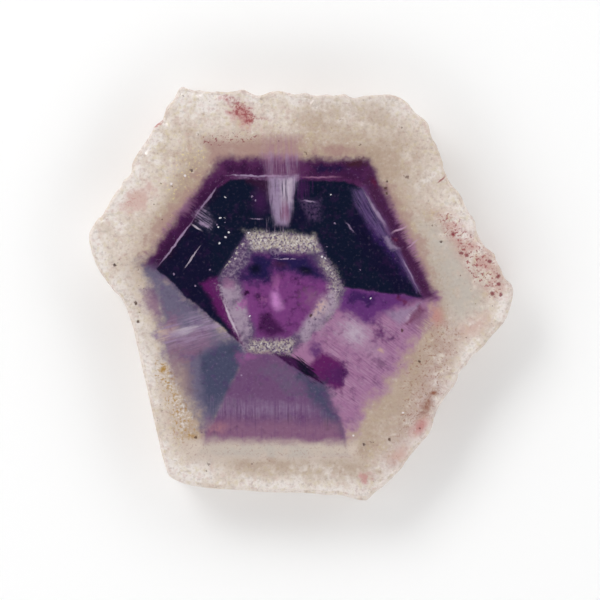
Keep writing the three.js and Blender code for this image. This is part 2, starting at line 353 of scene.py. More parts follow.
# Growth sectors of the amethyst, the lower ones first
SECTOR_MARKS = {
    "upper amethyst": zone(
        "plum", [(-15.9, 2.7), (-8, 13.55), (6.9, 13.4), (13.7, -0.6), (-1, -6.9)], blur=0.6,
        rag=("mottle", 2), clear=0.35,
    ),
    "mauve sector": zone(
        "mauve", [(0, 1.5), (13.6, -0.6), (12, -3.9), (9.8, -7.5), (4.5, -14.7), (-3.2, -5.7)], blur=1.1,
        rag=("mottle", 3), clear=0.15,
    ),
    "pale fibres of the mauve sector": zone(
        "pale mauve", [(2, -1.5), (12, -2.5), (9.2, -7.9), (4.8, -13.5), (2, -8.7)], blur=1, amount=0.65,
        by=("low right fibres", 0.42, 0.7), rag=("mottle", 4),
    ),
    "dark fibres of the mauve sector": zone(
        "deep mauve", [(1.8, -1.2), (11.5, -1.3), (9.4, -7.3), (4.8, -11.7), (2, -7.7)], blur=1,
        amount=0.35, by=("low right fibres", 0.48, 0.3), rag=("mottle", 4),
    ),
    "dark patches of the mauve sector": zone(
        "deep mauve", [(1.8, -1.2), (11.5, -1.3), (9.4, -7.3), (4.8, -11.7), (2, -7.7)], blur=0.8,
        amount=0.3, by=("mottle", 0.5, 0.3),
    ),
    "violet top of the mauve sector": zone(
        "purple", [(3.6, 1.1), (12.4, -0.1), (10.4, -1.3), (6.6, -3.1), (3.8, -1.7)], blur=0.7,
        amount=0.95, rag=("mottle", 3), clear=0.25,
    ),
    "violet of that top": spot(
        "violet", (6.2, -0.5), (2.4, 0.9), turn=-12, core=0.1, amount=0.85, rag=("mottle", 3),
    ),
    "red of that top": spot(
        "red wine", (10.5, -0.8), (1.1, 0.5), turn=-20, core=0.1, amount=0.9, rag=("mottle", 3),
    ),
    "pale step": zone(
        "lavender", [(8.6, -1.9), (11.9, -1.1), (10, -3.4)], blur=0.4, amount=0.75, rag=("mottle", 3),
    ),
    "bright edge of the step": streak(
        "pale lavender", (11.9, -1.1), (10.2, -3.2), width=0.28, core=0.1, amount=0.6,
        by=("mottle", 0.35, 0.6),
    ),
    "shade beside the step": zone(
        "red wine", [(12, -1.3), (12.6, -1.7), (11.2, -2.9), (10.6, -3.1)], blur=0.25, amount=0.75,
        rag=("mottle", 3),
    ),
    "rose shade outside the step": spot(
        "rose mauve", (12, -2.5), (1.5, 1.6), core=0.1, amount=0.8, rag=("low right fibres", 2),
    ),
    "pale cloud": spot(
        "pale lavender", (5.4, -4), (2.4, 1.8), turn=-30, amount=0.8, by=("mottle", 0.25, 0.6),
        rag=("low right fibres", 2),
    ),
    "second pale cloud": spot(
        "pale mauve", (7.4, -5.9), (2, 1.3), turn=-30, amount=0.8, by=("mottle", 0.25, 0.6),
        rag=("low right fibres", 2),
    ),
    "purple by the ring": spot("purple", (1.6, -5.8), (2, 1.1), turn=-52, amount=0.85, rag=("mottle", 2)),
    "purple patch": spot("deep mauve", (8, -4.2), (1.6, 0.9), turn=-35, amount=0.8, rag=("mottle", 3)),
    "magenta window": zone(
        "wine", [(0.4, -7.6), (2.2, -5.9), (3.8, -6.6), (4.5, -7.7), (4.1, -9.7), (1.9, -8.9)], blur=0.4,
        amount=0.97, rag=("mottle", 3), clear=0.4,
    ),
    "bright side of the window": spot("purple", (3.6, -8.3), (1.3, 1.6), amount=0.7, rag=("mottle", 3)),
    "peach spots": spot("peach", (8.1, -5.7), (0.55, 0.4), turn=-30, amount=0.75, rag=("grain", 2)),
    # Painted reflection: the pale grey-violet over the lower left sector is a reflection in the polished
    # face, painted into the colour of this real sector.
    "left sector with painted reflection haze": zone(
        "haze", [(-15.8, 2.7), (-14, 2.5), (-5.2, -5.9), (-9, -14.7), (-13.4, -5.7)], blur=1.1,
        rag=("mottle", 3), clear=0.1,
    ),
    "rose edge of the hazy sector": spot(
        "rose mauve", (-14.6, -1.2), (1.3, 3), turn=20, amount=0.6, rag=("mottle", 2),
    ),
    "rose haze": spot("rose mauve", (-12.8, -2.9), (1.6, 1.2), turn=15, amount=0.6, rag=("mottle", 3)),
    "blush haze": spot("blush", (-13.2, -4), (1.7, 1.1), turn=15, amount=0.6, rag=("low left fibres", 2)),
    "rose fibres": zone(
        "dusk rose", [(-13.6, -4.3), (-9.5, -3.3), (-8, -4.9), (-12.4, -7.3)], blur=0.9, amount=0.75,
        by=("low left fibres", 0.25, 0.55), rag=("mottle", 4),
    ),
    "pale fibres": zone(
        "lavender", [(-14, -3.3), (-7.8, -1.3), (-6, -4.3), (-13.4, -5.3)], blur=0.9, amount=0.85,
        by=("low left fibres", 0.38, 0.64), rag=("mottle", 4),
    ),
    "pale knot": spot(
        "pale lavender", (-11.6, -3.8), (2.2, 0.55), turn=17, amount=0.65, rag=("low left fibres", 3),
    ),
    "brown margin of the slate sector": spot(
        "rose tan", (-11.7, -7.9), (1.3, 3.4), turn=15, amount=0.5, rag=("mottle", 2),
    ),
    "slate sector": zone(
        "slate", [(-10, -6.3), (-7.8, -4.8), (-5.3, -4.6), (-4.9, -5.9), (-8.6, -13.1), (-9.6, -10.9)],
        blur=0.6, amount=0.95, rag=("mottle", 2),
    ),
    "bottom sector": zone(
        "dusk", [(-5.3, -5.8), (-2.2, -6), (2.4, -9.1), (4.1, -12.7), (5, -16.3), (-10.2, -16.1)],
        blur=0.25, rag=("mottle", 2), clear=0.1,
    ),
    "rose head of the bottom sector": spot(
        "rose magenta", (-5, -6.4), (1.5, 1), turn=10, amount=0.6, rag=("mottle", 3),
    ),
    "grey heart of the bottom sector": spot(
        "haze", (-1.6, -8.5), (3.4, 1.5), turn=-25, core=0.1, amount=0.55, rag=("mottle", 3),
    ),
    "slate side of the bottom sector": zone(
        "slate", [(0, -8.1), (2.4, -9.2), (4, -12.3), (4.2, -13.9), (2.2, -12.5)], blur=0.9, amount=0.95,
        rag=("mottle", 3),
    ),
    "pale mist of the bottom sector": zone(
        "lavender", [(-8.8, -10.8), (0, -10.9), (2.6, -12.1), (-8.9, -12.3)], blur=0.9, amount=0.6,
        by=("upright fibres", 0.2, 0.8), rag=("mottle", 4),
    ),
    "plum under the mist": zone(
        "plum", [(-7.9, -12), (0, -11.9), (2.6, -13.1), (-8.1, -13.1)], blur=0.7, amount=0.25,
        by=("upright fibres", 0.6, 0.3), rag=("mottle", 4),
    ),
    "rose foot of the bottom sector": zone(
        "dusk rose", [(-9.1, -12.7), (3.9, -12.9), (4.9, -16.1), (-10.1, -15.9)], blur=0.8, amount=0.85,
        by=("upright fibres", 0.15, 0.5), rag=("mottle", 2),
    ),
    "rose foot on the left": spot(
        "rose", (-8.3, -13.6), (1.7, 0.9), turn=10, amount=0.5, by=("mottle", 0.3, 0.6),
    ),
    "rim over the foot": zone(
        "oat", [(-11.4, -14.8), (5.8, -15), (5.8, -16.6), (-11.4, -16.5)], blur=0.7, rag=("mottle", 2),
    ),
    "pale rim under the foot": streak(
        "quartz", (-12, -15.7), (6, -16), width=1, amount=0.75, by=("mottle", 0.3, 0.6),
    ),
    "rose dabs under the foot": zone(
        "rose tan", [(-12, -14.8), (6.6, -15), (6.6, -16.9), (-12, -16.9)], blur=0.5, amount=0.5,
        by=("grain", 0.5, 0.72),
    ),
    "left dark sector": zone(
        "navy", [(-14.3, 2.4), (-8.4, 10.3), (-7, 11.4), (-1.5, 11.3), (-1.5, 3.3), (-5.4, -5.5)],
        blur=0.14, rag=("mottle", 2), clear=0.6,
    ),
    "right dark sector": zone(
        "navy", [(-3, 11.3), (4.5, 11.2), (6.2, 10.5), (12.2, -0.4), (4.5, 0.6), (-3, 3.3)], blur=0.16,
        rag=("mottle", 2), clear=0.6,
    ),
    "dark sliver": zone(
        "dark plum", [(-3.2, -5.7), (-1, -6.1), (1.3, -7.8), (2.3, -9.1), (0, -7.8)], blur=0.14,
        amount=0.97, rag=("mottle", 2), clear=0.4,
    ),
    "ink of the sliver": spot(
        "navy", (0.5, -7.5), (1.9, 0.75), turn=-45, core=0.2, amount=0.95, rag=("low right fibres", 3),
    ),
    "violet by the veil": spot("purple", (-3.9, 9.3), (1.3, 2.4), amount=0.9),
    "violet right of the veil": spot(
        "purple", (0.2, 10.5), (1.2, 1.7), amount=0.85, rag=("upright fibres", 3),
    ),
    "violet under the patch": spot(
        "indigo", (0.6, 7.9), (2.2, 1.6), core=0.2, amount=0.9, rag=("mottle", 2),
    ),
    "indigo of the left sector": zone(
        "indigo", [(-14, 2.5), (-10.8, 6.9), (-9.4, 5.7), (-8.6, 2.3), (-8.4, -2.7), (-11, -0.7)],
        blur=0.5, amount=0.75, rag=("mottle", 5),
    ),
    "indigo of the right sector": zone(
        "indigo", [(4.6, 7.1), (6.2, 9.5), (9.8, 4.1), (12, -0.3), (9.6, 0.3), (6.8, 3.1)], blur=0.6,
        amount=0.85, rag=("mottle", 4),
    ),
    "violet beside the streak": streak(
        "violet", (5.2, 10.1), (11.2, 0.7), width=1, core=0, amount=0.85, rag=("mottle", 2),
    ),
    "magenta wedge": zone(
        "wine", [(-9.9, 0.9), (-8.3, 1.6), (-5.4, -5.6), (-7.6, -2.9)], blur=0.35, amount=0.97,
        rag=("mottle", 3), clear=0.4,
    ),
    "bright heart of the wedge": spot(
        "magenta", (-8.4, 0), (0.7, 1.4), turn=20, amount=0.7, rag=("mottle", 3),
    ),
}

# Bands, growth lines and milky veils of the upper amethyst
VEIL_MARKS = {
    "dark foot of the top band": zone(
        "dark plum", [(-7.4, 12.7), (-3.4, 12.8), (-3.2, 11.8), (-7.2, 11.9)], blur=0.6, amount=0.8,
        rag=("mottle", 3),
    ),
    "dark right half of the top band": zone(
        "dark plum", [(0.9, 13.3), (6.8, 13.3), (6.3, 11.2), (0.9, 11.6)], blur=0.5, amount=0.6,
        rag=("mottle", 3),
    ),
    "indigo in the top band": spot(
        "indigo", (3, 12.5), (2.2, 0.6), core=0.1, amount=0.9, rag=("mottle", 3),
    ),
    "brown end of the top band": spot(
        "brown wine", (5.6, 13), (1.5, 0.7), core=0.1, amount=0.9, rag=("mottle", 3),
    ),
    "dark left band": zone(
        "dark plum", [(-15, 3.1), (-10.4, 9.5), (-7.8, 12.1), (-7.3, 11.5), (-9.4, 8.7), (-14, 2.7)],
        blur=0.6, amount=0.8, rag=("mottle", 3),
    ),
    "pale patch of the left band": spot(
        "mauve", (-11.3, 8.5), (1.3, 0.7), turn=45, amount=0.65, rag=("left fibres", 2),
    ),
    "fray of the left band": streak(
        "mauve", (-15.6, 3.5), (-8.6, 12.9), width=0.5, core=0.1, amount=0.55,
        by=("left fibres", 0.42, 0.6), rag=("mottle", 3),
    ),
    "right band": zone(
        "plum", [(7, 12.5), (10.2, 6.1), (13.4, -0.4), (12.3, -0.5), (6.2, 11.1)], blur=0.4, amount=0.95,
        rag=("right fibres", 2),
    ),
    "fray of the right band": streak(
        "mauve", (7.8, 11.7), (14, -1.1), width=0.75, amount=0.9, by=("right fibres", 0.4, 0.62),
        rag=("right fibres", 3),
    ),
    "red head of the right band": spot(
        "red wine", (7.5, 10.8), (0.5, 1), turn=20, amount=0.8, rag=("mottle", 3),
    ),
    "red heart of the right band": spot(
        "red wine", (9.6, 5.4), (0.6, 0.4), amount=0.85, rag=("mottle", 3),
    ),
    "thread across the right band": streak(
        "pale mauve", (8.8, 5.9), (11, 6.9), width=0.16, core=0.2, amount=0.85,
    ),
    "second thread across it": streak(
        "pale mauve", (10.4, 4.2), (12.2, 5.7), width=0.13, core=0.2, amount=0.6,
    ),
    "top growth line": streak(
        "lavender", (-7.8, 11.8), (0.2, 11.75), width=0.14, core=0.5, amount=0.85, rag=("breaks", 1),
    ),
    "milk under the top line": streak(
        "lavender", (-7.1, 11.6), (-3, 11.45), width=0.3, core=0.1, amount=0.6, by=("breaks", 0.3, 0.55),
    ),
    "right end of the top line": streak(
        "rose mauve", (-0.8, 11.6), (4.8, 11.6), width=0.17, amount=0.9, by=("breaks", 0.25, 0.5),
    ),
    "rose under the top line": zone(
        "plum", [(-5.4, 11.4), (-2.8, 11.5), (-2.8, 9.3)], blur=0.5, amount=0.8, rag=("mottle", 3),
    ),
    "veil in the rim": zone(
        "mauve", [(-3.2, 16.1), (-0.2, 15.5), (0, 13.3), (-3.8, 13.3)], blur=0.7, amount=0.32,
        by=("upright fibres", 0.35, 0.65), rag=("mottle", 3),
    ),
    "veil in the top band": zone(
        "mauve", [(-3.6, 13.8), (-0.2, 13.8), (-0.3, 11.5), (-3.4, 11.5)], blur=0.5, amount=0.8,
        by=("upright fibres", 0.25, 0.58), rag=("upright fibres", 3),
    ),
    "pale fibres in the top band": zone(
        "lavender", [(-4, 13.9), (0, 13.9), (-0.2, 11.5), (-3.4, 11.5)], blur=0.5, amount=0.7,
        by=("upright fibres", 0.48, 0.7), rag=("mottle", 3),
    ),
    "veil in the dark sector": zone(
        "lavender", [(-3.2, 11.7), (-0.3, 11.7), (-0.7, 8.8), (-1.2, 6.7), (-2.5, 6.9), (-3.1, 9.3)],
        blur=0.35, amount=0.9, by=("upright fibres", 0.1, 0.52), rag=("upright fibres", 3), clear=0,
    ),
    "bright heart of the veil": zone(
        "pale lavender", [(-2, 11.3), (-0.7, 11.5), (-0.9, 9.3), (-1.7, 8.7)], blur=0.4, amount=0.75,
        by=("upright fibres", 0.2, 0.58), rag=("upright fibres", 3),
    ),
    "rose foot of the veil": spot(
        "rose mauve", (-1.5, 8.1), (0.6, 1.3), turn=5, core=0.1, amount=0.85, rag=("upright fibres", 3),
    ),
    "torn foot of the veil": zone(
        "lavender", [(-3.8, 7.5), (-1.1, 7.6), (-1.3, 5.9), (-3.7, 5.9)], blur=0.25, amount=0.85,
        by=("upright fibres", 0.52, 0.62), rag=("mottle", 4),
    ),
    "lavender patch": zone(
        "dim lavender", [(0, 9.3), (2.1, 9.3), (2, 7.2), (0.8, 7.2)], blur=0.4, amount=0.95,
        by=("grain", 0.3, 0.6), rag=("mottle", 3),
    ),
    "upper edge of the patch": streak(
        "lavender", (0, 9.25), (1.8, 9.15), core=0.2, amount=0.85, by=("breaks", 0.35, 0.5),
    ),
    "broken line over the ring": streak(
        "lavender", (-5.4, 7.4), (-3, 7.45), width=0.1, amount=0.7, by=("breaks", 0.36, 0.5),
    ),
    "left growth line": streak("lavender", (-14.4, 2.3), (-10.4, 7.8), width=0.14, core=0.5, amount=0.85),
    "upper left growth line": streak(
        "lavender", (-10.6, 7.5), (-7.9, 11.1), core=0.4, amount=0.7, rag=("breaks", 1),
    ),
    "milk beside the left line": zone(
        "lavender", [(-10.6, 7.9), (-9.6, 8.7), (-8.7, 7.1), (-9, 6.3), (-10.2, 7.1)], blur=0.45,
        amount=0.7, by=("left fibres", 0.3, 0.62), rag=("grain", 3), clear=0,
    ),
    "thread across the left sector": streak(
        "pale lavender", (-11.1, 7.15), (-9.6, 6.05), core=0.2, amount=0.85,
    ),
    "second thread": streak(
        "lavender", (-10.3, 7.4), (-8.8, 6.3), width=0.22, core=0.2, amount=0.85, rag=("grain", 2),
    ),
    "inner growth line": streak(
        "pale lavender", (-11.8, 2.2), (-9.7, 5.1), width=0.12, core=0.4, amount=0.75, rag=("breaks", 1),
    ),
    "right streak": zone(
        "dim lavender", [(5.2, 10.4), (6.4, 10.6), (9.2, 6.1), (8.8, 5.4), (7.8, 5.6), (5.5, 8.6)],
        blur=0.4, amount=0.8, by=("streak fibres", 0.2, 0.66), rag=("streak fibres", 3), clear=0,
    ),
    "bright edge of the streak": streak(
        "lavender", (6.1, 10.7), (9.1, 5.7), width=0.25, core=0.1, amount=0.75, rag=("streak fibres", 2),
    ),
    "bright knot of the streak": zone(
        "lavender", [(8.3, 5.6), (8.7, 5.7), (9.9, 4.4), (9.1, 4.3)], blur=0.25, amount=0.7,
        by=("mottle", 0.25, 0.5), rag=("grain", 3), clear=0,
    ),
    "lower streak": zone(
        "dim lavender", [(9.3, 4.4), (9.9, 4.4), (12, 0.3), (11.6, 0)], blur=0.3, amount=0.85,
        by=("streak fibres", 0.25, 0.6), rag=("streak fibres", 3), clear=0,
    ),
    "bright edge of the lower streak": streak(
        "lavender", (9.8, 4.3), (12, 0), width=0.13, core=0.2, amount=0.7, rag=("streak fibres", 2),
    ),
    "fine white thread": streak(
        "lavender", (4.3, 7.4), (5.7, 5.8), width=0.14, core=0.1, amount=0.7, rag=("grain", 1),
    ),
}

# White granular ring and the magenta core inside it
RING_MARKS = {
    "ring": zone(
        "grey violet", [(-5.3, 6.1), (1.6, 5.7), (4.6, 0.2), (3.1, -2.5), (-0.9, -6.1), (-5.4, -5.8),
        (-8.3, 1.4)], blur=0.3, amount=0.95, rag=("grain", 3), clear=0.1,
    ),
    "top of the ring": zone(
        "grains", [(-5.4, 6.2), (1.4, 5.8), (1.8, 4.3), (0, 3.7), (-4.8, 4.2)], blur=0.45, amount=0.8,
        by=("grain", 0.2, 0.52), rag=("mottle", 3), clear=0,
    ),
    "right of the ring": zone(
        "grains", [(2.2, 3.7), (3.4, 2.5), (4.2, 0.5), (3.6, -1.1), (2.8, -2.5), (1.6, 0.3)], blur=0.6,
        amount=0.65, by=("grain", 0.25, 0.55), rag=("grain", 4), clear=0,
    ),
    "lower right of the ring": zone(
        "milk", [(1.4, 0.3), (3.8, 0.1), (3.4, -1.9), (0.4, -5.1), (-0.4, -2.9)], blur=0.7, amount=0.95,
        by=("grain", 0.15, 0.5), rag=("mottle", 4), clear=0,
    ),
    "peach of the ring": spot(
        "peach", (1.8, -1.4), (1.7, 1.2), turn=50, amount=0.8, by=("grain", 0.36, 0.62),
    ),
    "foot of the ring": zone(
        "grains", [(-5.4, -5.8), (-5, -4.6), (-1, -4.3), (-0.3, -4.7), (-0.9, -6.1)], blur=0.35,
        amount=0.7, by=("grain", 0.3, 0.58), rag=("grain", 5), clear=0,
    ),
    "upper left of the ring": zone(
        "milk", [(-5.3, 5.7), (-4.4, 4.3), (-6.1, 0.9), (-8.2, 1.4)], blur=0.35, amount=0.65,
        by=("grain", 0.38, 0.68), rag=("grain", 3),
    ),
    "grains of the upper left": streak(
        "grains", (-8.1, 1.6), (-5, 5.9), width=0.4, core=0.2, amount=0.9, by=("grain", 0.52, 0.62),
    ),
    "milky left of the ring": zone(
        "milk", [(-8.2, 0.8), (-6.7, -3.3), (-5.6, -5.6), (-5, -4.1), (-5.1, -1.2), (-6.4, 0.9)],
        blur=0.4, amount=0.9, by=("mottle", 0.15, 0.6), rag=("grain", 4), clear=0,
    ),
    "rose head of the milky side": spot(
        "mauve", (-7, 0.9), (1.2, 0.9), turn=20, amount=0.85, rag=("mottle", 3),
    ),
    "white edge of the milky side": streak(
        "pale lavender", (-8, 0), (-5.9, -5.1), width=0.16, amount=0.8,
    ),
    "core": zone(
        "magenta", [(-4.6, 4.1), (0.6, 4), (3.1, 0.9), (0, -3.5), (-1.2, -4.3), (-4.3, -4.5),
        (-5.4, -1.7), (-6, 1.3)], blur=0.5, rag=("mottle", 3), clear=0.3,
    ),
    "shades of the core": zone(
        "dark magenta", [(-4.8, 3.1), (1, 3.1), (2.6, 0.9), (-0.2, -3.3), (-4.2, -3.9)], blur=0.6,
        amount=0.8, by=("mottle", 0.56, 0.3),
    ),
    "lilac side of the core": spot("mauve", (1.2, -0.5), (1.5, 1.4), amount=0.55, rag=("mottle", 3)),
    "dark head of the core, left": zone(
        "indigo", [(-6, 1.2), (-4.8, 4), (-2.4, 3.9), (-2.5, 2.5), (-3.2, 1.3), (-4.4, 0.9)], blur=0.9,
        amount=0.97, rag=("mottle", 3), clear=0.5,
    ),
    "dark head of the core, right": zone(
        "indigo", [(-2.7, 3.9), (0.8, 3.9), (2.8, 1.2), (0, 1.8), (-2.6, 2.6)], blur=0.7, amount=0.97,
        rag=("mottle", 2), clear=0.5,
    ),
    "navy of the head, left": spot("navy", (-4.5, 2.4), (1.1, 1), core=0.1, amount=0.8),
    "navy of the head, right": spot("navy", (0.6, 2.3), (1.3, 0.6), turn=-15, core=0.1, amount=0.85),
    "wine of the head": spot("plum", (-2, 2.9), (1.3, 0.6), amount=0.7),
    "column of the core": streak(
        "rose magenta", (-2.4, 2.3), (-2.4, -2.5), width=0.65, core=0.1, amount=0.7, rag=("mottle", 3),
    ),
    "bright facet": zone(
        "orchid", [(-2.9, 0.2), (-2.1, 0.3), (-1.6, -1.5), (-2.3, -1.9), (-2.9, -1)], blur=0.4,
        amount=0.9, rag=("mottle", 2),
    ),
    "left spark of the core": spot(
        "rose magenta", (-3.7, -0.6), (0.7, 0.4), turn=10, amount=0.9, rag=("grain", 3),
    ),
    "pink shoulder of the core": spot(
        "rose magenta", (-5.7, -1.1), (0.9, 0.6), turn=20, amount=0.85, rag=("grain", 3),
    ),
    "dark facet": zone(
        "dark magenta", [(-3.8, -2), (-3, -2), (-1.5, -3.8), (-2.9, -4.4), (-4.3, -3.7)], blur=0.5,
        amount=0.9, rag=("mottle", 2),
    ),
    "dark bit": spot(
        "dark plum", (-5.4, 0), (0.55, 0.4), turn=30, core=0.1, amount=0.95, rag=("grain", 2),
    ),
    "fray over the head": zone(
        "lavender", [(-3, 4.4), (-1.8, 4.4), (-2.1, 3.6), (-2.9, 3.7)], blur=0.2, amount=0.8,
        by=("grain", 0.42, 0.58), rag=("grain", 4),
    ),
    "broken line in the head": streak(
        "lavender", (-3.1, 3.45), (0, 3.45), width=0.1, core=0.4, amount=0.9, by=("breaks", 0.4, 0.5),
    ),
    "shade over the amethyst": zone(
        "ink", [(-15.9, 2.7), (-8, 13.5), (6.9, 13.3), (13.7, -0.6), (4.6, -14.7), (-9.5, -14.7)],
        blur=0.8, amount=0.22, by=("mottle", 0.48, 0.25),
    ),
    "glow over the amethyst": zone(
        "purple", [(-15.9, 2.7), (-8, 13.5), (6.9, 13.3), (13.7, -0.6), (4.6, -14.7), (-9.5, -14.7)],
        blur=0.8, amount=0.25, by=("breaks", 0.5, 0.75),
    ),
    "dust over the amethyst": zone(
        "lavender", [(-15.9, 2.7), (-8, 13.5), (6.9, 13.3), (13.7, -0.6), (4.6, -14.7), (-9.5, -14.7)],
        blur=0.8, amount=0.24, by=("grain", 0.55, 0.8),
    ),
}

# Tiny crystals and pits that catch the eye
SPECK_MARKS = {
    "white crystals": specks(
        "white", [(-7.45, 9.6), (-7.95, 7.45), (-7.5, 7.5), (-8.15, 6.6), (-7.5, 5.6), (-7.1, 6.1),
        (-8.05, 5), (7.1, -0.6), (3.1, 9.8), (2.2, 3.65), (2.5, 3.55), (-5.15, 6.05), (-5, -2.3)],
        radius=0.08, amount=0.85,
    ),
    "small white crystals": specks(
        "lavender", [(-4.8, 9.65), (-4.4, 9.3), (-7.5, 7.05), (-8.3, 6.85), (-9.05, 2.3), (-12.6, 1.85),
        (-10.5, 0.7), (3.9, 3.2), (6.1, 2.3), (2.7, 4.6), (3.5, 7), (-5.9, -8.2)], radius=0.07,
        amount=0.7,
    ),
    "pit shadows": specks("umber", [pit[0] for pit in PITS.values()], radius=0.13, amount=0.8),
    "bright crystals of the rim": specks(
        "white", [(10.3, -11.9), (5.4, -14.2), (-11.45, 11.65), (-12.85, 11)], radius=0.09, amount=0.75,
    ),
}

# How the markings are laid: the shift between textures, the wander of all edges in millimetres,
# how far inside its edge a zone is full, and the softness and unevenness of specks
TEXTURE_STEP = 0.137
WANDER = 0.5
ZONE_CORE = -1.0
SPECK_EDGE = 1.6
SPECK_RAG = 0.35

# Values of a texture between which most of it lies
TEXTURE_SPAN = (0.3, 0.7)

# Cream rim: its colours from the skin inwards, how deep in millimetres they go and wander, and the
# tones over them, each by a texture's values where it starts and is full, an amount and a colour
RIM_COLOURS = ((0.0, "chalk"), (0.16, "cream"), (0.42, "oat"), (0.72, "sand"), (1.0, "tan"))
RIM_DEPTH_SHOWN = 7.0
RIM_WANDERS = {"mottle": 1.2, "cloud": 1.6}
RIM_TONES = (
    ("warm dabs", 0.50, 0.72, 0.50, "warm sand"),
    ("warm dabs", 0.48, 0.30, 0.40, "blush"),
    ("grey dabs", 0.52, 0.72, 0.50, "quartz"),
    ("pale dabs", 0.54, 0.72, 0.50, "chalk"),
    ("pale dabs", 0.46, 0.28, 0.42, "rose tan"),
    ("grain", 0.52, 0.75, 0.30, "chalk"),
    ("grain", 0.47, 0.22, 0.20, "rose tan"),
)

# Finish of the stone: shade between its grains, tint of the skin, fine relief and polish
GRAIN_SHADE = (0.6, 0.55, 0.58, 1.0)
GRAIN_SHADE_SPAN = (0.5, 0.25)
GRAIN_SHADE_AMOUNT = 0.22
SKIN_TINT = (0.93, 0.90, 0.88, 1.0)
SKIN_ROUGHNESS = 0.6
POLISH_ROUGHNESS = (0.1, 0.2)
POLISH_RELIEF = 0.06
RELIEF_STRENGTH = 0.6
RELIEF_DEPTH = 0.12 * MM
QUARTZ_IOR = 1.544
ABSORPTION_COLOUR = (0.30, 0.12, 0.50, 1.0)
ABSORPTION_DENSITY = 220.0

# Studio: the tent's light is its power times a share at each height of the up direction
FLOOR_SIZE = 3.0
FLOOR_CELLS = 4
FLOOR_DROP = 0.05 * MM
FLOOR_COLOUR = (0.95, 0.95, 0.95, 1.0)
FLOOR_ROUGHNESS = 0.8
FLOOR_SHINE = 0.2
TENT_POWER = 1.95
TENT_SHARES = ((0.20, 0.38), (0.50, 1.0), (0.60, 1.0), (0.85, 0.026))
KEY_PLACE = (-0.28, 0.30, 0.36)
KEY_SIZE = 0.22
KEY_POWER = 0.70
VIEW_WIDTH = 60.0 * MM
VIEW_MIDDLE = (-0.05 * MM, -0.65 * MM)
LENS = 150.0
SENSOR = 36.0
NEAREST_SEEN = 0.01


def light_of(code, gain=1.0):
    """A colour as it shows on a screen, as linear light."""
    shown = Color([int(code[place:place + 2], 16) / 255 for place in (0, 2, 4)])
    return (*(min(part * gain, 1.0) for part in shown.from_srgb_to_scene_linear()), 1.0)


def new_group(name, inputs, outputs):
    """An empty node group. Its inputs and outputs are titles with their kinds."""
    group = bpy.data.node_groups.new(name, "ShaderNodeTree")
    for way, titles in (("INPUT", inputs), ("OUTPUT", outputs)):
        for title, kind in titles.items():
            group.interface.new_socket(title, in_out=way, socket_type=f"NodeSocket{kind}")
    return group


def add_node(tree, kind, inputs=None, **settings):
    """A shader node with its settings, its inputs set to values or linked to other nodes' outputs."""
    made = tree.nodes.new(kind)
    for name, value in settings.items():
        setattr(made, name, value)
    for place, value in (inputs or {}).items():
        if isinstance(value, bpy.types.NodeSocket):
            tree.links.new(value, made.inputs[place])
        else:
            made.inputs[place].default_value = value
    return made


def sum_of(tree, operation, *values):
    """A sum of one, two or three numbers."""
    return add_node(tree, "ShaderNodeMath", dict(enumerate(values)), operation=operation).outputs[0]


def vector_sum(tree, operation, *values):
    """The outputs of a sum of vectors."""
    return add_node(tree, "ShaderNodeVectorMath", dict(enumerate(values)), operation=operation).outputs


def fade(tree, value, start, end, low=0.0, high=1.0):
    """low at start and high at end of a value, with an easy curve between."""
    inputs = {"Value": value, "From Min": start, "From Max": end, "To Min": low, "To Max": high}
    ranged = add_node(
        tree, "ShaderNodeMapRange", inputs, interpolation_type="SMOOTHSTEP", clamp=False
    )
    return ranged.outputs["Result"]


def ramp(tree, value, stops, interpolation):
    """The light at a value, from stops of place and light."""
    made = add_node(tree, "ShaderNodeValToRGB", {"Fac": value})
    made.color_ramp.interpolation = interpolation
    elements = made.color_ramp.elements
    elements.remove(elements[1])
    for index, (place, light) in enumerate(stops):
        element = elements.new(place) if index else elements[0]
        element.position = place
        element.color = light
    return made.outputs["Color"]


def form_group(form, sides, frayed):
    """The group for a form of marking: the amount inside it and 0 outside, with a soft edge.

    Each side is a direction with, in the third place, minus a distance from the origin. A zone is
    inside all its sides; a spot is an oval with two of them as its half axes.
    """
    name = f"{form} of {sides} sides, {'frayed' if frayed else 'smooth'}"
    if name in bpy.data.node_groups:
        return bpy.data.node_groups[name]
    titles = [f"Side {side + 1}" for side in range(sides)]
    vectors = {title: "Vector" for title in ("Plan", *titles)}
    numbers = {title: "Float" for title in ("Core", "Uneven", "Amount")}
    group = new_group(name, {**vectors, **numbers}, {"Inside": "Float"})
    given = group.nodes.new("NodeGroupInput").outputs
    reaches = [
        vector_sum(group, "DOT_PRODUCT", given["Plan"], given[title])["Value"] for title in titles
    ]
    if form == "zone":
        reach = reaches[0]
        for other in reaches[1:]:
            reach = sum_of(group, "MAXIMUM", reach, other)
    else:
        along, across = reaches
        along_squared = sum_of(group, "MULTIPLY", along, along)
        reach_squared = sum_of(group, "MULTIPLY_ADD", across, across, along_squared)
        reach = sum_of(group, "SQRT", reach_squared)
    if frayed:
        reach = sum_of(group, "ADD", reach, given["Uneven"])
    inside = fade(group, reach, 1.0, given["Core"], 0.0, given["Amount"])
    group.links.new(inside, group.nodes.new("NodeGroupOutput").inputs[0])
    return group


def zone_sides(corners, blur):
    """The sides of a convex zone: outward directions and minus their distances, in blurs."""
    pairs = list(zip(corners, corners[1:] + corners[:1]))
    area = sum(a[0] * b[1] - b[0] * a[1] for a, b in pairs)
    around = 1 if area > 0 else -1
    sides = []
    for start, end in pairs:
        run = (Vector(end) - Vector(start)).normalized() * around
        outward = Vector((run.y, -run.x)) / blur
        sides.append((outward.x, outward.y, -outward.dot(Vector(start))))
    return sides


def spot_sides(middle, radii, turn):
    """The half axes of an oval: their directions and minus the distances of its middle, in radii."""
    sides = []
    for radius, angle in zip(radii, (turn, turn + 90)):
        way = Vector((math.cos(math.radians(angle)), math.sin(math.radians(angle)))) / radius
        sides.append((way.x, way.y, -way.dot(Vector(middle))))
    return sides


